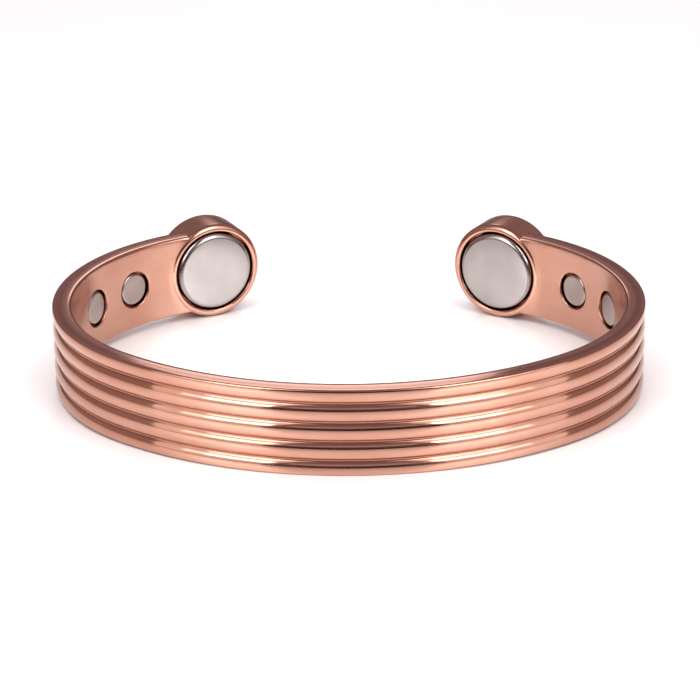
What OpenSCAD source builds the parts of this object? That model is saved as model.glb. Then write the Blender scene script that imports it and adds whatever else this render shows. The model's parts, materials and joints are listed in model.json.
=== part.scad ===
// Open copper cuff bracelet, lying on its edge as it would on a table.
// A ribbed band bends round the wrist in three arcs: a wide one across the front and a tight
// one at each side. A round cup is soldered to each end and holds a large disc magnet, and two
// small disc magnets are let into the inner face on each side.
// The opening faces +Y and +Z is up. The origin is on the table, under the middle of the
// bracelet.

/* [Band] */
// Height of the band from edge to edge
band_h = 10; // [8:0.5:12]
// Thickness of the band over its ribs
band_t = 2.25; // [2:0.05:3]
// Outer radius of the wide bend across the front
front_r = 40; // [32:0.5:50]
// Angle that the front bend turns through, from its middle to each side bend
front_angle = 39.3; // [30:0.1:46]
// Outer radius of the tight bend at each side
side_r = 24.5; // [20:0.5:30]
// Angle that each side bend turns through
side_angle = 112; // [100:0.5:120]
// Rounding of the two edges of the inner face
inner_edge_r = 0.3; // [0.2:0.05:0.6]
// Rounding of the two edges of the outer face
outer_edge_r = 0.2; // [0.1:0.05:0.5]

/* [Ribs] */
// Number of ribs round the outside
rib_n = 5; // [3:1:6]
// Fall of a rib from its crest to the middle of the groove, before the groove is cut
rib_crown = 0.46; // [0.3:0.02:0.6]
// Depth of the rounded groove between two ribs, below their crests
groove_depth = 0.4; // [0.2:0.02:0.5]
// Radius of the rounded groove
groove_r = 0.2; // [0.15:0.05:0.4]

/* [End cups] */
// Diameter of the large magnet in each cup
end_magnet_d = 9.8; // [8:0.1:11]
// Thickness of the large magnet
end_magnet_t = 3.2; // [2:0.1:4]
// Thickness of the cup's wall round the magnet
cup_wall = 0.9; // [0.85:0.05:1.4]
// Thickness of the cup's floor behind the magnet
cup_floor = 1.4; // [0.8:0.1:2]
// Height of the cup's rim above the band's inner face, towards the wrist
rim_rise = 0.2; // [0.1:0.05:0.6]
// Rounding of the rim's outer edge
rim_edge_r = 0.6; // [0.2:0.05:0.7]
// Rounding of the rim's inner edge, at the magnet
rim_lip_r = 0.25; // [0.1:0.05:0.4]
// Rounding of the cup's back edge
cup_back_r = 0.15; // [0.1:0.05:0.4]
// Distance of the cup's centre past the end of the side bend
cup_run = 3.5; // [2.5:0.1:5]

/* [Small magnets] */
// Diameter of each small magnet
small_magnet_d = 4; // [3:0.1:5]
// Thickness of each small magnet
small_magnet_t = 1.25; // [0.8:0.05:1.4]
// Distance from the cup's centre to the near magnet, along the outer face
near_run = 12.2; // [11:0.1:14]
// Distance from the near magnet to the far one, along the outer face
magnet_pitch = 8.05; // [6:0.05:12]

/* [Fits] */
// Gap round a large magnet in its cup
end_ring_gap = 0.2; // [0.1:0.05:0.5]
// Gap round a small magnet in its recess
small_ring_gap = 0.25; // [0.1:0.05:0.4]
// Gap under every magnet
seat_gap = 0.05; // [0.02:0.01:0.1]
// Height of a large magnet's face above the cup's rim
end_proud = 0.2; // [0:0.05:0.5]
// Depth of a small magnet's face below the band's inner face
small_sunk = 0.1; // [0:0.05:0.3]
// Rounding of a large magnet's front edge
end_magnet_edge_r = 0.65; // [0.2:0.05:0.8]
// Rounding of a small magnet's front edge
small_magnet_edge_r = 0.3; // [0.1:0.05:0.4]

/* [Hidden] */
$fn = 96;
copper = "#c98b74";
nickel = "#b9b4b0";

// Cutters pass faces by this much
past = 1;

// Angles of the plan are headings: 0 at the middle of the front, 90 at the side, and over 90
// where the band turns in towards the opening.
end_angle = front_angle + side_angle;
function along(angle) = [cos(angle), sin(angle)];
function outward(angle) = [sin(angle), -cos(angle)];

// The plan is drawn with the front of the band at y = 0.
front_centre = [0, front_r, 0];
side_centre = [0, front_r] + (front_r - side_r) * outward(front_angle);
cup_centre = side_centre + (side_r - band_t) * outward(end_angle) + cup_run * along(end_angle);

// The band runs on into the cup, to half way to its middle.
into_cup_angle = (cup_run / 2) / side_r * 180 / PI;
// The front bend is drawn this much past the middle and then cut there.
spare_angle = 2;

// Cup and recesses
cup_bore_r = end_magnet_d / 2 + end_ring_gap;
cup_r = cup_bore_r + cup_wall;
cup_bore_depth = end_magnet_t + seat_gap - end_proud;
cup_depth = cup_bore_depth + cup_floor;
small_bore_r = small_magnet_d / 2 + small_ring_gap;
small_bore_depth = small_sunk + small_magnet_t + seat_gap;
function run_angle(run) = end_angle - (run - cup_run) / side_r * 180 / PI;
function recess_centre(run) = side_centre + (side_r - band_t) * outward(run_angle(run));
far_run = near_run + magnet_pitch;

// The outermost ribs are three quarters as wide as the others.
rib_pitch = band_h / (rib_n - 0.5);
rib_r = (pow(rib_pitch / 2, 2) + pow(rib_crown, 2)) / (2 * rib_crown);

// The cups reach below the band, so the bracelet rests on its front edge and on both cups, a
// little higher at the back.
overhang = max(0, cup_r - band_h / 2);
cup_contact_y = cup_centre.y + (rim_rise - rim_edge_r) * -outward(end_angle).y;
rest_tilt = asin(overhang / (cup_contact_y - outer_edge_r));
rest_lift = outer_edge_r - outer_edge_r * (sin(rest_tilt) + cos(rest_tilt));
// Front and rear of the tilted bracelet
front_y = -(band_h - rib_pitch / 4) * sin(rest_tilt);
cup_back = cup_centre + (cup_depth - rim_rise - cup_back_r) * outward(end_angle);
back_reach = (cup_r - cup_back_r) * abs(along(end_angle).y) + cup_back_r;
rear_y = (cup_back.y + back_reach) * cos(rest_tilt) - band_h / 2 * sin(rest_tilt);

// What is cut from a corner at the origin to round it; the solid is at x < 0 and y < 0
module corner_cut(r) {
    difference() {
        translate([-r, -r])
            square(r + past);
        translate([-r, -r])
            circle(r);
    }
}

// Section of the band, with the outer face's crests at x = r and the height along y
module band_section(r) {
    difference() {
        union() {
            translate([r - band_t, 0])
                square([band_t / 2 + past / 10, band_h]);
            intersection() {
                translate([r - band_t / 2, 0])
                    square([band_t / 2, band_h]);
                for (i = [0 : rib_n - 1])
                    translate([r - rib_r, band_h / 2 + (i - (rib_n - 1) / 2) * rib_pitch])
                        circle(rib_r);
            }
        }
        for (i = [0 : rib_n - 2])
            translate([r - groove_depth + groove_r, band_h / 2 + (i - rib_n / 2 + 1) * rib_pitch])
                circle(groove_r);
        translate([r, band_h])
            corner_cut(outer_edge_r);
        translate([r, 0])
            mirror([0, 1])
                corner_cut(outer_edge_r);
        translate([r - band_t, band_h])
            mirror([1, 0])
                corner_cut(inner_edge_r);
        translate([r - band_t, 0])
            mirror([1, 0])
                mirror([0, 1])
                    corner_cut(inner_edge_r);
    }
}

// A bend of the band round the origin, from one heading to another
module bend(r, from, to) {
    rotate_extrude(angle = to - from, start = from - 90)
        band_section(r);
}

// The right half of the band: both bends are drawn from the plane where they meet, which is
// then turned to its place
module half_band() {
    intersection() {
        translate(front_centre)
            rotate([0, 0, front_angle]) {
                bend(front_r, -front_angle - spare_angle, 0);
                translate([0, side_r - front_r, 0])
                    bend(side_r, 0, side_angle + into_cup_angle);
            }
        translate([0, -past, -past])
            cube([2 * front_r, 2 * front_r, band_h + 2 * past]);
    }
}

// Both ends of what is drawn on the right
module both_sides() {
    children();
    mirror([1, 0, 0])
        children();
}

// Places children on the inner face at a point of the plan, with their +Z towards the wrist
module on_inner_face(centre, angle) {
    translate([centre.x, centre.y, band_h / 2])
        rotate([90, 0, angle + 180])
            children();
}

// A disc with its front face at z = 0 and a rounded front edge
module disc(r, thickness, edge_r) {
    rotate_extrude()
        difference() {
            translate([0, -thickness])
                square([r, thickness]);
            translate([r, 0])
                corner_cut(edge_r);
        }
}

// The cup's outer form, a short drum whose rim stands above the band's inner face
module cup_drum() {
    rotate_extrude()
        difference() {
            translate([0, rim_rise - cup_depth])
                square([cup_r, cup_depth]);
            translate([cup_r, rim_rise])
                corner_cut(rim_edge_r);
            translate([cup_r, rim_rise - cup_depth])
                mirror([0, 1])
                    corner_cut(cup_back_r);
        }
}

// The space for the large magnet, with the rounded lip of the rim
module cup_bore() {
    rotate_extrude() {
        translate([0, rim_rise - cup_bore_depth])
            square([cup_bore_r, cup_bore_depth + past]);
        translate([cup_bore_r, rim_rise])
            mirror([1, 0])
                corner_cut(rim_lip_r);
    }
}

// The space for a small magnet
module small_bore() {
    translate([0, 0, -small_bore_depth])
        cylinder(h = small_bore_depth + past, r = small_bore_r);
}

module cuff_body() {
    difference() {
        union() {
            both_sides() {
                half_band();
                on_inner_face(cup_centre, end_angle)
                    cup_drum();
            }
        }
        both_sides() {
            on_inner_face(cup_centre, end_angle)
                cup_bore();
            for (run = [near_run, far_run])
                on_inner_face(recess_centre(run), run_angle(run))
                    small_bore();
        }
    }
}

// Sets the bracelet down on the table, with the origin under its middle
module at_rest() {
    translate([0, -(front_y + rear_y) / 2, rest_lift])
        rotate([rest_tilt, 0, 0])
            children();
}

// A large magnet, for the right cup
module end_magnet() {
    on_inner_face(cup_centre, end_angle)
        translate([0, 0, rim_rise + end_proud])
            disc(end_magnet_d / 2, end_magnet_t, end_magnet_edge_r);
}

// A small magnet, for the right side of the band
module small_magnet(run) {
    on_inner_face(recess_centre(run), run_angle(run))
        translate([0, 0, -small_sunk])
            disc(small_magnet_d / 2, small_magnet_t, small_magnet_edge_r);
}

module cuff() {
    color(copper)
        at_rest()
            cuff_body();
}

module end_magnet_left() {
    color(nickel)
        at_rest()
            mirror([1, 0, 0])
                end_magnet();
}

module end_magnet_right() {
    color(nickel)
        at_rest()
            end_magnet();
}

module near_magnet_left() {
    color(nickel)
        at_rest()
            mirror([1, 0, 0])
                small_magnet(near_run);
}

module near_magnet_right() {
    color(nickel)
        at_rest()
            small_magnet(near_run);
}

module far_magnet_left() {
    color(nickel)
        at_rest()
            mirror([1, 0, 0])
                small_magnet(far_run);
}

module far_magnet_right() {
    color(nickel)
        at_rest()
            small_magnet(far_run);
}

cuff();
end_magnet_left();
end_magnet_right();
near_magnet_left();
near_magnet_right();
far_magnet_left();
far_magnet_right();
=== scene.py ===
"""An open cuff bracelet of polished copper with disc magnets, on a pale studio floor.

The cuff is made the way a goldsmith makes it: a ribbed strip is drawn, bent round a mandrel,
drilled for its small magnets, and a turned cup is soldered to each end. Lengths are millimetres
until a finished piece is set down on the floor, where they become metres.
"""
import json
import math

import bmesh
import bpy
from mathutils import Matrix, Vector


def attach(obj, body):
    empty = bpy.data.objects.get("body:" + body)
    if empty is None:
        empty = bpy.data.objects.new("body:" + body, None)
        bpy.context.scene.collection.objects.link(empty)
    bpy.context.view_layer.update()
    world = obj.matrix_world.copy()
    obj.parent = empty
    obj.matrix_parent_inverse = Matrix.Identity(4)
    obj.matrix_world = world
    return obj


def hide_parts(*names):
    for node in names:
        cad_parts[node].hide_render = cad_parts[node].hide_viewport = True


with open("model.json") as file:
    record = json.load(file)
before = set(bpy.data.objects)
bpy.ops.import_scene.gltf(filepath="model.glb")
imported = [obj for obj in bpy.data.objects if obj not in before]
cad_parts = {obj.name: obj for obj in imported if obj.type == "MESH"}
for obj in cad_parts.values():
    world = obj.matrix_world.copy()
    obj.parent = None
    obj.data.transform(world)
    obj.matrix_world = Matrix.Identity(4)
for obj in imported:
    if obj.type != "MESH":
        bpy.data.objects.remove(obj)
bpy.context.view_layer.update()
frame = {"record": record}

MM = 0.001
QUARTER = math.pi / 2

# Band: a wide arc in front and a tight one at each side; the radii are those of its outer face
BAND_H = 10.0
BAND_T = 2.25
FRONT_R = 40.0
FRONT_ANGLE = math.radians(39.3)
SIDE_R = 24.5
SIDE_ANGLE = math.radians(112.0)
INNER_EDGE_R = 0.3
OUTER_EDGE_R = 0.2

# Ribs round the outside; the outermost are three quarters as wide as the others
RIB_COUNT = 5
RIB_PITCH = BAND_H / (RIB_COUNT - 0.5)
RIB_CROWN = 0.46
RIB_R = ((RIB_PITCH / 2) ** 2 + RIB_CROWN ** 2) / (2 * RIB_CROWN)
GROOVE_DEPTH = 0.4
GROOVE_R = 0.2
SHOULDER = 0.05

# Cups and their magnets. Heights are over the inner face, and CUP_RUN is how far a cup's centre
# lies past the end of the side bend.
END_MAGNET_R = 4.9
END_MAGNET_T = 3.2
END_MAGNET_EDGE_R = 0.65
END_RING_GAP = 0.2
END_PROUD = 0.2
SEAT_GAP = 0.05
CUP_WALL = 0.9
CUP_FLOOR = 1.4
CUP_RUN = 3.5
RIM_RISE = 0.2
RIM_EDGE_R = 0.6
RIM_LIP_R = 0.25
CUP_BACK_R = 0.15
CUP_BORE_R = END_MAGNET_R + END_RING_GAP
CUP_BORE_DEPTH = END_MAGNET_T + SEAT_GAP - END_PROUD
CUP_R = CUP_BORE_R + CUP_WALL
CUP_DEPTH = CUP_BORE_DEPTH + CUP_FLOOR

# Small magnets and their recesses; runs are from the cup's centre along the outer face
SMALL_MAGNET_R = 2.0
SMALL_MAGNET_T = 1.25
SMALL_MAGNET_EDGE_R = 0.3
SMALL_RING_GAP = 0.25
SMALL_SUNK = 0.1
SMALL_LIP_R = 0.15
NEAR_RUN = 12.2
MAGNET_PITCH = 8.05
SMALL_BORE_R = SMALL_MAGNET_R + SMALL_RING_GAP
SMALL_BORE_DEPTH = SMALL_SUNK + SMALL_MAGNET_T + SEAT_GAP

# Solder that draws the inner face up to the rim of a cup: how far from the rim's foot it starts,
# its slope at the foot, and after how many such reaches it stops rising
SOLDER_REACH = 0.5
SOLDER_SLOPE = 0.1
SOLDER_REACHES = 1.5

# How finely the round forms are divided
CUP_STEPS = 128
MAGNET_STEPS = 96
BEND_STEP = math.radians(1.0)
BEND_STEP_AT_CUP = BEND_STEP / 3
EDGE_ROWS = 4
EDGE_STEPS = 6
CROWN_STEPS = 9
GROOVE_STEPS = 8
SHOULDER_STEPS = 3
FRONT_EDGE_STEPS = 8
CUP_BACK_STEPS = 4
MAGNET_BACK_STEPS = 3

# Square patch of the inner face round each small recess, and the rings that lead in from it
PATCH_HALF = 3.4
PATCH_ROWS = 18
FLANK_ROWS = 3
PATCH_RINGS = 4
SMALL_LIP_STEPS = 4

# How near to the inner face's plane, to a cup's bore and to its axis a point counts as on it
ON_FACE = BAND_T / 3
ON_BORE = 0.05
ON_AXIS = 0.1

# How near two points are merged, how thin a face is closed, and from which angle an edge is sharp
POLE_MERGE = 1e-5
MIRROR_MERGE = 1e-4
SLIVER = 0.001
SHARP_ANGLE = math.radians(32)

# The cuff's finishes, by the number of their material
DRAWN, TURNED, SATIN_INSIDE, SATIN_CUP_WALL = range(4)

# The plan is drawn with the front at y = 0. A heading is 0 at the middle of the front and 90
# degrees at the side.
END_ANGLE = FRONT_ANGLE + SIDE_ANGLE
UP = Vector((0, 0, 1))
X_AXIS = (1, 0, 0)


def outward(heading):
    """Direction away from the wrist."""
    return Vector((math.sin(heading), -math.cos(heading), 0))


def along(heading):
    """Direction along the band, towards its right end."""
    return Vector((math.cos(heading), math.sin(heading), 0))


FRONT_CENTRE = Vector((0, FRONT_R, 0))
SIDE_CENTRE = FRONT_CENTRE + (FRONT_R - SIDE_R) * outward(FRONT_ANGLE)
INNER_SIDE_R = SIDE_R - BAND_T


def on_inner_face(point, heading):
    """Frame on the inner face at half the band's height, with +Z towards the wrist."""
    return (Matrix.Translation(point + UP * BAND_H / 2)
            @ Matrix.Rotation(heading + math.pi, 4, "Z")
            @ Matrix.Rotation(QUARTER, 4, "X"))


def cup_place():
    """Frame of the right cup, on the tangent past the end of the side bend."""
    end = SIDE_CENTRE + INNER_SIDE_R * outward(END_ANGLE)
    return on_inner_face(end + CUP_RUN * along(END_ANGLE), END_ANGLE)


def run_heading(run):
    """Heading of a point that lies this far from the cup's centre along the outer face."""
    return END_ANGLE - (run - CUP_RUN) / SIDE_R


def recess_place(run):
    """Frame of a small recess on the right side."""
    heading = run_heading(run)
    return on_inner_face(SIDE_CENTRE + INNER_SIDE_R * outward(heading), heading)


def at_rest():
    """Sets the bracelet down: from millimetres in the plan to metres on the floor.

    The record's mount lies in the middle of the band's lower edge, at the front.
    """
    edge = frame["record"]["mounts"][0]
    tilt = math.atan2(edge["axis"][1], -edge["axis"][2])
    in_plan = Vector((0, (OUTER_EDGE_R + BAND_T - INNER_EDGE_R) / 2, 0))
    return (Matrix.Translation(edge["pos_m"])
            @ Matrix.Rotation(tilt, 4, "X")
            @ Matrix.Scale(MM, 4)
            @ Matrix.Translation(-in_plan))


RUNS = {"near": NEAR_RUN, "far": NEAR_RUN + MAGNET_PITCH}
SIDES = {"left": Matrix.Scale(-1, 4, X_AXIS), "right": Matrix.Identity(4)}
REST = at_rest()


# Drawing outlines, bending and turning them

def draw_line(bm, vert, y, z, steps):
    """Draws a straight run of an outline from vert to a point of the section."""
    start, end = vert.co.copy(), Vector((0, y, z))
    for i in range(1, steps + 1):
        vert = bmesh.ops.extrude_vert_indiv(bm, verts=[vert])["verts"][0]
        vert.co = start.lerp(end, i / steps)
    return vert


def draw_arc(bm, vert, centre, angle, steps):
    """Draws an arc of an outline from vert round a centre (y, z)."""
    made = bmesh.ops.spin(bm, geom=[vert], cent=(0, *centre), axis=X_AXIS, angle=angle,
                          steps=steps, use_merge=False, use_duplicate=False)
    return next(g for g in made["geom_last"] if isinstance(g, bmesh.types.BMVert))


def crown_and_groove():
    """Half the angle of a rib's crown and half that of a groove, up to where the two meet."""
    span_y = RIB_R - GROOVE_DEPTH + GROOVE_R
    span = math.hypot(span_y, RIB_PITCH / 2)
    cos_share = (RIB_R ** 2 + span ** 2 - GROOVE_R ** 2) / (2 * RIB_R * span)
    crown_half = math.atan2(RIB_PITCH / 2, span_y) - math.acos(cos_share)
    groove_half = math.asin((RIB_PITCH / 2 - RIB_R * math.sin(crown_half)) / GROOVE_R)
    return crown_half, groove_half


def draw_section(bm):
    """Closed outline of the ribbed strip: the inner face up, then the top, the ribs and back."""
    flank = BAND_H / 2 - INNER_EDGE_R - PATCH_HALF
    inner_edge_y = BAND_T - INNER_EDGE_R
    first = bm.verts.new((0, BAND_T, INNER_EDGE_R))
    v = draw_line(bm, first, BAND_T, INNER_EDGE_R + flank, FLANK_ROWS)
    v = draw_line(bm, v, BAND_T, BAND_H - INNER_EDGE_R - flank, PATCH_ROWS)
    v = draw_line(bm, v, BAND_T, BAND_H - INNER_EDGE_R, FLANK_ROWS)
    v = draw_arc(bm, v, (inner_edge_y, BAND_H - INNER_EDGE_R), QUARTER, EDGE_STEPS)

    # The outermost ribs end in a rounded edge that is tangent to their crown.
    top_rib_z = BAND_H / 2 + (RIB_COUNT - 1) / 2 * RIB_PITCH
    edge_angle = math.asin((BAND_H - OUTER_EDGE_R - top_rib_z) / (RIB_R - OUTER_EDGE_R))
    edge_y = RIB_R - (RIB_R - OUTER_EDGE_R) * math.cos(edge_angle)
    v = draw_line(bm, v, edge_y, BAND_H, EDGE_ROWS)
    v = draw_arc(bm, v, (edge_y, BAND_H - OUTER_EDGE_R), QUARTER - edge_angle, EDGE_STEPS)

    crown_half, groove_half = crown_and_groove()
    shoulders = []
    for i in range(RIB_COUNT):
        rib_z = top_rib_z - i * RIB_PITCH
        upper = edge_angle if i == 0 else crown_half
        lower = edge_angle if i == RIB_COUNT - 1 else crown_half
        v = draw_arc(bm, v, (RIB_R, rib_z), upper + lower, CROWN_STEPS)
        if i < RIB_COUNT - 1:
            shoulders.append(v)
            groove_centre = (GROOVE_DEPTH - GROOVE_R, rib_z - RIB_PITCH / 2)
            v = draw_arc(bm, v, groove_centre, -2 * groove_half, GROOVE_STEPS)
            shoulders.append(v)
    v = draw_arc(bm, v, (edge_y, OUTER_EDGE_R), QUARTER - edge_angle, EDGE_STEPS)
    v = draw_line(bm, v, inner_edge_y, 0, EDGE_ROWS)
    v = draw_arc(bm, v, (inner_edge_y, INNER_EDGE_R), QUARTER, EDGE_STEPS)
    bmesh.ops.weld_verts(bm, targetmap={v: first})
    bmesh.ops.bevel(bm, geom=shoulders, offset=SHOULDER, offset_type="OFFSET",
                    segments=SHOULDER_STEPS, profile=0.5, affect="VERTICES", material=-1)


def bend(bm, geom, centre, angle, step):
    """Bends the strip's end on round a centre, and gives back its new end."""
    steps = max(1, round(angle / step))
    made = bmesh.ops.spin(bm, geom=geom, cent=centre, axis=UP, angle=angle, steps=steps,
                          use_merge=False, use_duplicate=False)
    return made["geom_last"]


def face_outwards(bm):
    """Turns the faces of a closed form outwards."""
    bmesh.ops.recalc_face_normals(bm, faces=bm.faces[:])
    if bm.calc_volume(signed=True) < 0:
        bmesh.ops.reverse_faces(bm, faces=bm.faces[:])


def turned(bm, points, steps):
    """Turns a profile of (radius, height) points round Z into a closed solid."""
    verts = [bm.verts.new((r, 0, z)) for r, z in points]
    edges = [bm.edges.new(pair) for pair in zip(verts, verts[1:])]
    bmesh.ops.spin(bm, geom=verts + edges, cent=(0, 0, 0), axis=UP, angle=2 * math.pi,
                   steps=steps, use_merge=True, use_duplicate=False)
    bmesh.ops.remove_doubles(bm, verts=bm.verts[:], dist=POLE_MERGE)


def rounded(radius, centre_r, centre_z, start, end, steps):
    """Points of a rounded corner of a profile, its angles in degrees from the outside."""
    angles = [math.radians(start + (end - start) * i / steps) for i in range(steps + 1)]
    return [(centre_r + radius * math.cos(a), centre_z + radius * math.sin(a)) for a in angles]


def new_object(name, bm):
    """Makes an object of a mesh and forgets the working copy."""
    mesh = bpy.data.meshes.new(name)
    bm.to_mesh(mesh)
    bm.free()
    obj = bpy.data.objects.new(name, mesh)
    bpy.context.scene.collection.objects.link(obj)
    return obj


# The ribbed band

def open_patch(bm, place):
    """Takes the faces out of the inner face round a recess, and gives back the open edge."""
    back = place.inverted()

    def in_patch(face):
        p = back @ face.calc_center_median()
        return abs(p.x) < PATCH_HALF and abs(p.y) < PATCH_HALF and abs(p.z) < ON_FACE

    faces = [f for f in bm.faces if in_patch(f)]
    inside = set(faces)
    rim = [e for e in {e for f in faces for e in f.edges}
           if sum(f in inside for f in e.link_faces) == 1]
    bmesh.ops.delete(bm, geom=faces, context="FACES")
    return rim


def face_height(x):
    """Height of the inner face over its tangent plane, at x along the band."""
    return INNER_SIDE_R - math.sqrt(INNER_SIDE_R ** 2 - x * x)


def next_ring(bm, ring, place, move):
    """Extrudes a closed ring of edges and moves each point in the recess's frame."""
    back = place.inverted()
    made = bmesh.ops.extrude_edge_only(bm, edges=ring)["geom"]
    verts = {g for g in made if isinstance(g, bmesh.types.BMVert)}
    for v in verts:
        v.co = place @ move(back @ v.co)
    return [g for g in made if isinstance(g, bmesh.types.BMEdge) and verts.issuperset(g.verts)]


def cut_recess(bm, place):
    """Sinks the recess of one small magnet into the inner face.

    Rings lead in from the patch's square edge to the round mouth, over its softened lip and down
    the bore.
    """
    mouth_r = SMALL_BORE_R + SMALL_LIP_R

    def on_face(p, radius, depth=0.0):
        x, y = p.xy.normalized() * radius
        return Vector((x, y, face_height(x) - depth))

    ring = open_patch(bm, place)
    for left in range(PATCH_RINGS, 0, -1):
        ring = next_ring(bm, ring, place,
                         lambda p: on_face(p, p.xy.length + (mouth_r - p.xy.length) / left))
    for i in range(1, SMALL_LIP_STEPS + 1):
        a = QUARTER * i / SMALL_LIP_STEPS
        radius = mouth_r - SMALL_LIP_R * math.sin(a)
        depth = SMALL_LIP_R * (1 - math.cos(a))
        ring = next_ring(bm, ring, place, lambda p: on_face(p, radius, depth))
    ring = next_ring(bm, ring, place, lambda p: Vector((p.x, p.y, -SMALL_BORE_DEPTH)))
    bmesh.ops.contextual_create(bm, geom=ring)


def draw_up_solder(bm):
    """Raises the inner face softly towards the foot of the cup's rim."""
    place = cup_place()
    back = place.inverted()
    for v in bm.verts:
        p = back @ v.co
        reach = (CUP_R + SOLDER_REACH - p.xy.length) / SOLDER_REACH
        if 0 < reach and abs(p.z) < ON_FACE:
            p.z += SOLDER_REACH * SOLDER_SLOPE / 2 * min(reach, SOLDER_REACHES) ** 2
            v.co = place @ p


def ribbed_band():
    """The bent strip with its four small recesses, closed at both ends.

    Its right half is bent and then mirrored. The ends lie inside the cups.
    """
    bm = bmesh.new()
    draw_section(bm)
    half_patch = math.asin(PATCH_HALF / INNER_SIDE_R)
    end = bend(bm, bm.verts[:] + bm.edges[:], FRONT_CENTRE, FRONT_ANGLE, BEND_STEP)
    bent_to = FRONT_ANGLE
    for run in (RUNS["far"], RUNS["near"]):
        heading = run_heading(run)
        end = bend(bm, end, SIDE_CENTRE, heading - half_patch - bent_to, BEND_STEP)
        end = bend(bm, end, SIDE_CENTRE, 2 * half_patch, 2 * half_patch / PATCH_ROWS)
        bent_to = heading + half_patch
    in_cup = END_ANGLE + CUP_RUN / 2 / SIDE_R
    end = bend(bm, end, SIDE_CENTRE, in_cup - bent_to, BEND_STEP_AT_CUP)
    bmesh.ops.contextual_create(bm, geom=[g for g in end if isinstance(g, bmesh.types.BMEdge)])
    draw_up_solder(bm)
    for run in RUNS.values():
        cut_recess(bm, recess_place(run))
    bmesh.ops.mirror(bm, geom=bm.verts[:] + bm.edges[:] + bm.faces[:],
                     matrix=Matrix.Identity(4), merge_dist=MIRROR_MERGE, axis="X")
    face_outwards(bm)
    return new_object("copper_cuff", bm)


# The cups, and how they are joined to the band

def both_cups(name, points):
    """The same turned form at both cups, as one working object."""
    bm = bmesh.new()
    for side in SIDES.values():
        one = bmesh.new()
        turned(one, points, CUP_STEPS)
        one.transform(side @ cup_place())
        face_outwards(one)
        mesh = bpy.data.meshes.new(name)
        for face in one.faces:
            face.material_index = TURNED
        one.to_mesh(mesh)
        one.free()
        bm.from_mesh(mesh)
        bpy.data.meshes.remove(mesh)
    return new_object(name, bm)


def cup_profile():
    """A turned cup: its floor, bore, lip, rim, outer wall and back."""
    floor = RIM_RISE - CUP_BORE_DEPTH
    back = RIM_RISE - CUP_DEPTH
    return ([(0, floor), (CUP_BORE_R, floor)]
            + rounded(RIM_LIP_R, CUP_BORE_R + RIM_LIP_R, RIM_RISE - RIM_LIP_R, 180, 90,
                      FRONT_EDGE_STEPS)
            + rounded(RIM_EDGE_R, CUP_R - RIM_EDGE_R, RIM_RISE - RIM_EDGE_R, 90, 0,
                      FRONT_EDGE_STEPS)
            + rounded(CUP_BACK_R, CUP_R - CUP_BACK_R, back + CUP_BACK_R, 0, -90,
                      CUP_BACK_STEPS)
            + [(CUP_R - 2 * CUP_BACK_R, back), (0, back)])


def cup_clearance_profile():
    """What the strip's end gives way to inside the cup, out to the middle of the cup's wall."""
    radius = CUP_BORE_R + CUP_WALL / 2
    return [(0, -2 * BAND_T), (radius, -2 * BAND_T), (radius, BAND_T), (0, BAND_T)]


def combine(obj, other, operation):
    """Joins a working object to obj or cuts it away, and removes it."""
    modifier = obj.modifiers.new(operation, "BOOLEAN")
    modifier.object = other
    modifier.operation = operation
    modifier.solver = "EXACT"
    graph = bpy.context.evaluated_depsgraph_get()
    mesh = bpy.data.meshes.new_from_object(obj.evaluated_get(graph))
    obj.modifiers.clear()
    old = obj.data
    obj.data = mesh
    bpy.data.meshes.remove(old)
    bpy.data.objects.remove(other)


def weld_slivers(obj):
    """Closes the hair-thin faces that a Boolean leaves where two surfaces graze each other."""
    bm = bmesh.new()
    bm.from_mesh(obj.data)
    bmesh.ops.remove_doubles(bm, verts=bm.verts[:], dist=SLIVER)
    bmesh.ops.dissolve_degenerate(bm, edges=bm.edges[:], dist=SLIVER / 10)
    bm.to_mesh(obj.data)
    bm.free()


def soften(obj):
    """Shades the mesh smooth, apart from its sharp edges."""
    obj.data.shade_smooth()
    obj.data.set_sharp_from_angle(angle=SHARP_ANGLE)


# The map of the cuff's finish and of the depths for its painted shade, in millimetres

def right_side(p):
    """The point brought over to the right side."""
    return Vector((abs(p.x), p.y, p.z))


def strip_marks(p):
    """Place of a point along and across the drawn strip, and its depth under the outer face."""
    q = right_side(p)
    from_front = q - FRONT_CENTRE
    heading = math.atan2(from_front.x, -from_front.y)
    run, radius = FRONT_R * heading, from_front.xy.length - FRONT_R
    if heading > FRONT_ANGLE:
        from_side = q - SIDE_CENTRE
        turn = math.atan2(from_side.x, -from_side.y) - FRONT_ANGLE
        run, radius = FRONT_R * FRONT_ANGLE + SIDE_R * turn, from_side.xy.length - SIDE_R
    return math.copysign(run, p.x), q.z + radius, -radius


def cup_marks(p, centre):
    """Place of a point round and across a turned cup, and its depth in the bore.

    Both points are in the cup's frame, and centre is the middle of the face that the point
    belongs to. The turn is measured from there, so that the map's seam tears no face. The flat
    back has no marks round it, so it is laid out as it is.
    """
    if centre.z < RIM_RISE - CUP_DEPTH + CUP_BACK_R / 2:
        return p.x, p.y, 0.0
    from_axis = p.xy.length
    lag = centre.xy.angle_signed(p.xy, 0.0) if from_axis > ON_AXIS else 0.0
    turn = math.atan2(centre.y, centre.x) - lag
    depth = -p.z if from_axis < CUP_BORE_R + ON_BORE else 0.0
    return CUP_R * turn, from_axis + p.z, depth


def finish_of(face, centre):
    """Number of a face's finish, where centre is its middle in the cup's frame."""
    if face.material_index == TURNED:
        outside = centre.xy.length > CUP_BORE_R + 2 * ON_BORE
        return SATIN_CUP_WALL if outside and centre.z < RIM_RISE - RIM_EDGE_R else TURNED
    depth = strip_marks(face.center)[2]
    return SATIN_INSIDE if depth > BAND_T - INNER_EDGE_R / 2 else DRAWN


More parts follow.
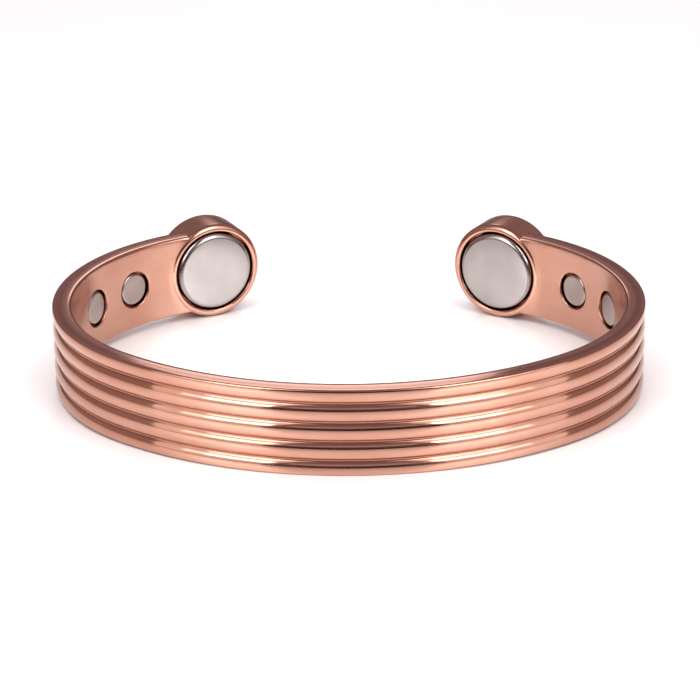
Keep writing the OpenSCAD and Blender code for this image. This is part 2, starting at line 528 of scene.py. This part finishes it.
def lay_marks(obj):
    """Lays a map over the cuff: along the marks of its making, and across them.

    They run along the strip and round the cups. A second layer holds how far down a groove or a
    cup's bore a point lies, in shares of the groove's depth, for the painted shade laid there.
    """
    mesh = obj.data
    into_cup = cup_place().inverted()
    marks = mesh.uv_layers.new(name="marks")
    # Depth of each point, from which the material paints shade into the grooves and bores
    painted_shade_depth = mesh.attributes.new("painted_shade_depth", "FLOAT", "POINT")
    for face in mesh.polygons:
        on_cup = face.material_index == TURNED
        centre = into_cup @ right_side(face.center)
        face.material_index = finish_of(face, centre)
        for loop in face.loop_indices:
            index = mesh.loops[loop].vertex_index
            p = mesh.vertices[index].co
            if on_cup:
                *place, depth = cup_marks(into_cup @ right_side(p), centre)
            else:
                *place, depth = strip_marks(p)
                depth = depth if depth < BAND_T / 2 else 0.0
            marks.data[loop].uv = place
            painted_shade_depth.data[index].value = max(0.0, min(1.0, depth / GROOVE_DEPTH))


# Finished pieces

def make_cuff(finishes):
    """The band and both cups as one piece, with the finishes in the order of their numbers."""
    cuff = ribbed_band()
    combine(cuff, both_cups("cup_clearances", cup_clearance_profile()), "DIFFERENCE")
    combine(cuff, both_cups("cups", cup_profile()), "UNION")
    weld_slivers(cuff)
    lay_marks(cuff)
    for material in finishes:
        cuff.data.materials.append(material)
    cuff.data.transform(REST)
    soften(cuff)
    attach(cuff, "root")
    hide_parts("cuff")


def make_magnet(node, place, radius, thickness, edge_r, face_z, plate):
    """A turned disc magnet with a rounded front edge and a slightly rounded back one."""
    bm = bmesh.new()
    back_r = edge_r / 3
    back = face_z - thickness
    turned(bm, [(0, face_z), (radius / 2, face_z)]
           + rounded(edge_r, radius - edge_r, face_z - edge_r, 90, 0, FRONT_EDGE_STEPS)
           + rounded(back_r, radius - back_r, back + back_r, 0, -90, MAGNET_BACK_STEPS)
           + [(0, back)], MAGNET_STEPS)
    bm.transform(REST @ place)
    face_outwards(bm)
    magnet = new_object(node + "_disc", bm)
    magnet.data.materials.append(plate)
    soften(magnet)
    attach(magnet, "root")
    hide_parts(node)


def make_magnets(large_plate, small_plate):
    """A large magnet in each cup and two small ones beside it, on both sides."""
    for side, flip in SIDES.items():
        make_magnet("end_magnet_" + side, flip @ cup_place(), END_MAGNET_R, END_MAGNET_T,
                    END_MAGNET_EDGE_R, RIM_RISE + END_PROUD, large_plate)
        for name, run in RUNS.items():
            make_magnet(name + "_magnet_" + side, flip @ recess_place(run), SMALL_MAGNET_R,
                        SMALL_MAGNET_T, SMALL_MAGNET_EDGE_R, -SMALL_SUNK, small_plate)


# Materials

def linear(hex_colour):
    """Linear RGBA of an sRGB hex value."""
    parts = [int(hex_colour[i:i + 2], 16) / 255 for i in (1, 3, 5)]
    return [c / 12.92 if c <= 0.04045 else ((c + 0.055) / 1.055) ** 2.4 for c in parts] + [1]


COPPER_PALE = linear("#c79a87")
COPPER_RED = linear("#bf8c78")
# Brown painted into the grooves and the cups' bores as shade
COPPER_PAINTED_SHADE = linear("#8f5a4c")

# Patterns in millimetres: the lines that buffing leaves, and the clouds of paler metal
LINE_LENGTH = 30
CLOUD_LENGTH = 9
CLOUD_WIDTH = 5

# Between these values of its noise a buffed line goes from polished to scored
LINE_FROM = 0.5
LINE_TO = 0.62

# Share of a groove's depth from which painted shade turns it browner, and how much painted shade
# its bottom gets
PAINTED_SHADE_FROM = 0.6
PAINTED_SHADE_MOST = 0.55

# Patterns to the metre: clouds of 4 mm in the nickel, and its grain, which is drawn 0.3 mm
# coarse because the real one would be finer than a pixel
NICKEL_CLOUDS = 260.0
NICKEL_GRAIN = 3500.0

# Height of the bumps, in metres
BUMP_HEIGHT = 0.00001


def add_node(tree, kind, settings=None, links=None):
    """Adds a node, sets its properties and inputs, and links its inputs to other outputs."""
    node = tree.nodes.new(kind)
    for name, value in (settings or {}).items():
        if isinstance(name, str) and hasattr(node, name):
            setattr(node, name, value)
        else:
            node.inputs[name].default_value = value
    for name, output in (links or {}).items():
        tree.links.new(output, node.inputs[name])
    return node


def new_material(name):
    """An empty material and its nodes."""
    material = bpy.data.materials.new(name)
    material.use_nodes = True
    material.node_tree.nodes.clear()
    return material, material.node_tree


def streaks(tree, along_mm, across_mm):
    """Soft streaks in the direction of the marks, this long and this wide."""
    marks = add_node(tree, "ShaderNodeUVMap", {"uv_map": "marks"})
    stretch = add_node(tree, "ShaderNodeMapping", {"Scale": (1 / along_mm, 1 / across_mm, 1)},
                       {"Vector": marks.outputs[0]})
    return add_node(tree, "ShaderNodeTexNoise", {"Scale": 1.0, "Detail": 3.0, "Roughness": 0.6},
                    {"Vector": stretch.outputs[0]}).outputs[0]


def ranged(tree, value, low, high, from_low=0.3, from_high=0.7):
    """Carries a value over to the range from low to high. Most noise lies from 0.3 to 0.7."""
    return add_node(tree, "ShaderNodeMapRange", {
        "From Min": from_low, "From Max": from_high, "To Min": low, "To Max": high},
        {"Value": value}).outputs[0]


def mixed(tree, factor, first, second):
    """Mixes two colours; each is a value or another node's colour."""
    node = add_node(tree, "ShaderNodeMix", {"data_type": "RGBA"}, {0: factor})
    for index, colour in ((6, first), (7, second)):
        if isinstance(colour, list):
            node.inputs[index].default_value = colour
        else:
            tree.links.new(colour, node.inputs[index])
    return node.outputs[2]


def buffed_copper(name, line_width, polished, scored, anisotropy):
    """Copper buffed to a warm mirror, with the traces of how it was shaped.

    Fine lines along the strip, or round the cup, spread a reflection across themselves. Their
    roughness goes from polished to scored. They are drawn coarser than real ones, which would be
    finer than a pixel. Broad clouds of paler and redder metal break up the even colour, and the
    grooves and the cups' bores are painted browner towards their bottoms, as painted shade.
    """
    material, tree = new_material(name)
    lines = streaks(tree, LINE_LENGTH, line_width)
    clouds = streaks(tree, CLOUD_LENGTH, CLOUD_WIDTH)
    # Painted shade: points deep in a groove or a cup's bore are coloured browner
    painted_shade_depth = add_node(tree, "ShaderNodeAttribute", {"attribute_name": "painted_shade_depth"})
    metal = mixed(tree, ranged(tree, clouds, 0, 1), COPPER_PALE, COPPER_RED)
    painted_shade_amount = ranged(tree, painted_shade_depth.outputs["Fac"], 0, PAINTED_SHADE_MOST, PAINTED_SHADE_FROM, 1.0)
    bump = add_node(tree, "ShaderNodeBump", {"Strength": 0.04, "Distance": BUMP_HEIGHT},
                    {"Height": lines})
    tangent = add_node(tree, "ShaderNodeTangent", {"direction_type": "UV_MAP",
                                                   "uv_map": "marks"})
    shader = add_node(tree, "ShaderNodeBsdfPrincipled", {
        "Metallic": 1.0, "Anisotropic": anisotropy, "Anisotropic Rotation": 0.25}, {
        "Base Color": mixed(tree, painted_shade_amount, metal, COPPER_PAINTED_SHADE),
        "Roughness": ranged(tree, lines, polished, scored, LINE_FROM, LINE_TO),
        "Normal": bump.outputs[0],
        "Tangent": tangent.outputs[0]})
    add_node(tree, "ShaderNodeOutputMaterial", None, {"Surface": shader.outputs[0]})
    return material


def nickel_plate(name, pale, grey, roughness):
    """Nickel plate on a pressed magnet: the tumbled skin is cloudy and softly blurred."""
    material, tree = new_material(name)
    place = add_node(tree, "ShaderNodeTexCoord").outputs["Object"]
    clouds = add_node(tree, "ShaderNodeTexNoise", {"Scale": NICKEL_CLOUDS, "Detail": 2.0},
                      {"Vector": place}).outputs[0]
    grain = add_node(tree, "ShaderNodeTexNoise", {"Scale": NICKEL_GRAIN, "Detail": 2.0},
                     {"Vector": place}).outputs[0]
    bump = add_node(tree, "ShaderNodeBump", {"Strength": 0.03, "Distance": BUMP_HEIGHT},
                    {"Height": grain})
    shader = add_node(tree, "ShaderNodeBsdfPrincipled", {"Metallic": 1.0}, {
        "Base Color": mixed(tree, ranged(tree, clouds, 0, 1), pale, grey),
        "Roughness": ranged(tree, grain, roughness * 0.85, roughness * 1.15),
        "Normal": bump.outputs[0]})
    add_node(tree, "ShaderNodeOutputMaterial", None, {"Surface": shader.outputs[0]})
    return material


def white_acrylic():
    """The photographer's table top: white acrylic with a satin gloss that holds the softboxes.

    Its IOR is over acrylic's own 1.49, which matches how strongly the floor glows in the metal.
    """
    material, tree = new_material("acrylic_white_satin")
    shader = add_node(tree, "ShaderNodeBsdfPrincipled", {
        "Base Color": linear("#f2f2f2"), "Roughness": 0.32, "IOR": 1.9,
        "Coat Weight": 1.0, "Coat Roughness": 0.26, "Coat IOR": 1.9})
    add_node(tree, "ShaderNodeOutputMaterial", None, {"Surface": shader.outputs[0]})
    return material


def black_felt():
    """Felt on a flag: matt, and dark enough to swallow the light that falls on it."""
    material, tree = new_material("felt_black")
    shader = add_node(tree, "ShaderNodeBsdfPrincipled", {
        "Base Color": linear("#2b2422"), "Roughness": 0.95, "Specular IOR Level": 0.0})
    add_node(tree, "ShaderNodeOutputMaterial", None, {"Surface": shader.outputs[0]})
    return material


# Studio, in metres

CAMERA_TARGET = Vector((0.46, -7.96, 6.93)) * MM
CAMERA_DISTANCE = 0.31075
CAMERA_HEIGHT_ANGLE = math.radians(21.25)
CAMERA_TURN = math.radians(2.40)
CAMERA_ROLL = math.radians(-0.66)
CAMERA_LENS = 140.75
CAMERA_SENSOR = 36.0
CAMERA_NEAREST = 0.01
CAMERA_FARTHEST = 20.0
FLOOR_HALF = 3.0
FLAG_CENTRE = (-0.02, -0.55, 0.055)
FLAG_WIDTH = 0.44
FLAG_TALL = 0.11


def towards(turn, height):
    """Direction from the bracelet, turned from the front to the right and raised."""
    return Vector((math.sin(turn) * math.cos(height), -math.cos(turn) * math.cos(height),
                   math.sin(height)))


def make_camera():
    """A long lens in front, a little to the right and above."""
    data = bpy.data.cameras.new("camera")
    data.lens = CAMERA_LENS
    data.sensor_width = CAMERA_SENSOR
    data.clip_start = CAMERA_NEAREST
    data.clip_end = CAMERA_FARTHEST
    camera = bpy.data.objects.new("camera", data)
    back = towards(CAMERA_TURN, CAMERA_HEIGHT_ANGLE)
    camera.matrix_world = (Matrix.Translation(CAMERA_TARGET + CAMERA_DISTANCE * back)
                           @ back.to_track_quat("Z", "Y").to_matrix().to_4x4()
                           @ Matrix.Rotation(CAMERA_ROLL, 4, "Z"))
    bpy.context.scene.collection.objects.link(camera)
    bpy.context.scene.camera = camera


def make_softbox(name, turn, height, distance, width, tall, brightness, seen=True):
    """A flat light that faces the bracelet from a direction in degrees.

    Its brightness is that of its face, where 1 is as bright as white paper in the picture. One
    that isn't seen lights the floor but leaves no reflection of itself in the metal.
    """
    data = bpy.data.lights.new(name, "AREA")
    data.shape = "RECTANGLE"
    data.size = width
    data.size_y = tall
    data.energy = brightness * math.pi * width * tall
    light = bpy.data.objects.new(name, data)
    direction = towards(math.radians(turn), math.radians(height))
    light.matrix_world = (Matrix.Translation(direction * distance)
                          @ direction.to_track_quat("Z", "Y").to_matrix().to_4x4())
    light.visible_camera = False
    light.visible_glossy = seen
    bpy.context.scene.collection.objects.link(light)


def make_lights():
    """Sets up the lights: turn, height, distance, width, tallness and brightness of each.

    Each side has a white wall with softboxes before it. A low softbox is brighter at its core,
    where its lamp is, and a faint glow lies between the two. The ceiling and the fill are for the
    floor alone. The card behind the bracelet lights the flat upper edge of the band's front.
    """
    make_softbox("wall_left", -45.7, 32, 0.75, 0.555, 0.84, 1.0)
    make_softbox("softbox_left_low", -40.5, 23.5, 0.7, 0.362, 0.16, 1.6)
    make_softbox("softbox_left_low_core", -36, 23.5, 0.7, 0.26, 0.16, 3.4)
    make_softbox("softbox_left_high", -39.5, 49, 0.7, 0.26, 0.28, 3.4)
    make_softbox("wall_right", 52.7, 32, 0.75, 0.644, 0.84, 1.0)
    make_softbox("softbox_right_low", 45.7, 23.5, 0.7, 0.408, 0.16, 1.6)
    make_softbox("softbox_right_low_core", 40.7, 23.5, 0.7, 0.278, 0.16, 3.8)
    make_softbox("softbox_right_high", 46.2, 49, 0.7, 0.30, 0.28, 3.4)
    make_softbox("glow_between", 2, 24, 0.75, 0.52, 0.09, 0.4)
    make_softbox("ceiling", 0, 89, 1.1, 1.4, 1.4, 2.95, seen=False)
    make_softbox("floor_fill", 180, 30, 0.6, 1.0, 0.2, 1.9, seen=False)
    make_softbox("back_card", 183.6, 28.7, 0.80, 0.146, 0.148, 1.8)


def light_room():
    """A dim room: nearly black at eye level, paler higher up, and warmer at the sides.

    The limits of both changes are shares of a direction's length.
    """
    world = bpy.data.worlds.new("studio_room")
    world.use_nodes = True
    tree = world.node_tree
    direction = add_node(tree, "ShaderNodeTexCoord").outputs["Generated"]
    parts = add_node(tree, "ShaderNodeSeparateXYZ", None, {0: direction})
    height = ranged(tree, parts.outputs["Z"], 0, 1, 0.1, 0.35)
    sideways = add_node(tree, "ShaderNodeMath", {"operation": "ABSOLUTE"},
                        {0: parts.outputs["X"]}).outputs[0]
    at_side = ranged(tree, sideways, 0, 1, 0.55, 0.9)
    front = mixed(tree, height, linear("#2e2424"), linear("#9c878c"))
    walls = mixed(tree, at_side, front, linear("#b49a93"))
    tree.links.new(walls, tree.nodes["Background"].inputs[0])
    bpy.context.scene.world = world


def make_board(name, place, material):
    """A flat board of the studio, made from a square a metre wide."""
    bm = bmesh.new()
    bmesh.ops.create_grid(bm, x_segments=1, y_segments=1, size=0.5)
    bm.transform(place)
    board = new_object(name, bm)
    board.data.materials.append(material)


def make_studio():
    """The floor, the room, its lights, and a black flag low behind the camera.

    The flag draws the dark line along each rib.
    """
    make_board("floor", Matrix.Diagonal((2 * FLOOR_HALF, 2 * FLOOR_HALF, 1, 1)), white_acrylic())
    light_room()
    make_lights()
    make_board("flag", (Matrix.Translation(FLAG_CENTRE) @ Matrix.Rotation(QUARTER, 4, "X")
                        @ Matrix.Diagonal((FLAG_WIDTH, FLAG_TALL, 1, 1))), black_felt())
    bpy.context.scene.view_settings.view_transform = "Standard"


# The strip's ribs and the cups' rims are buffed bright. The inside stays satin, and so does the
# outer wall of a cup, where the wheel hardly reaches between it and the band.
make_cuff([buffed_copper("copper_drawn_strip", line_width=0.06, polished=0.08, scored=0.2,
                         anisotropy=0.6),
           buffed_copper("copper_turned_cup", line_width=0.06, polished=0.08, scored=0.2,
                         anisotropy=0.4),
           buffed_copper("copper_satin_inside", line_width=0.15, polished=0.2, scored=0.26,
                         anisotropy=0.4),
           buffed_copper("copper_satin_cup_wall", line_width=0.15, polished=0.32, scored=0.4,
                         anisotropy=0.3)])
make_magnets(nickel_plate("nickel_large_magnets", pale=linear("#a69f9c"),
                          grey=linear("#9a9491"), roughness=0.19),
             nickel_plate("nickel_small_magnets", pale=linear("#a99c96"),
                          grey=linear("#988b84"), roughness=0.22))
make_studio()
make_camera()
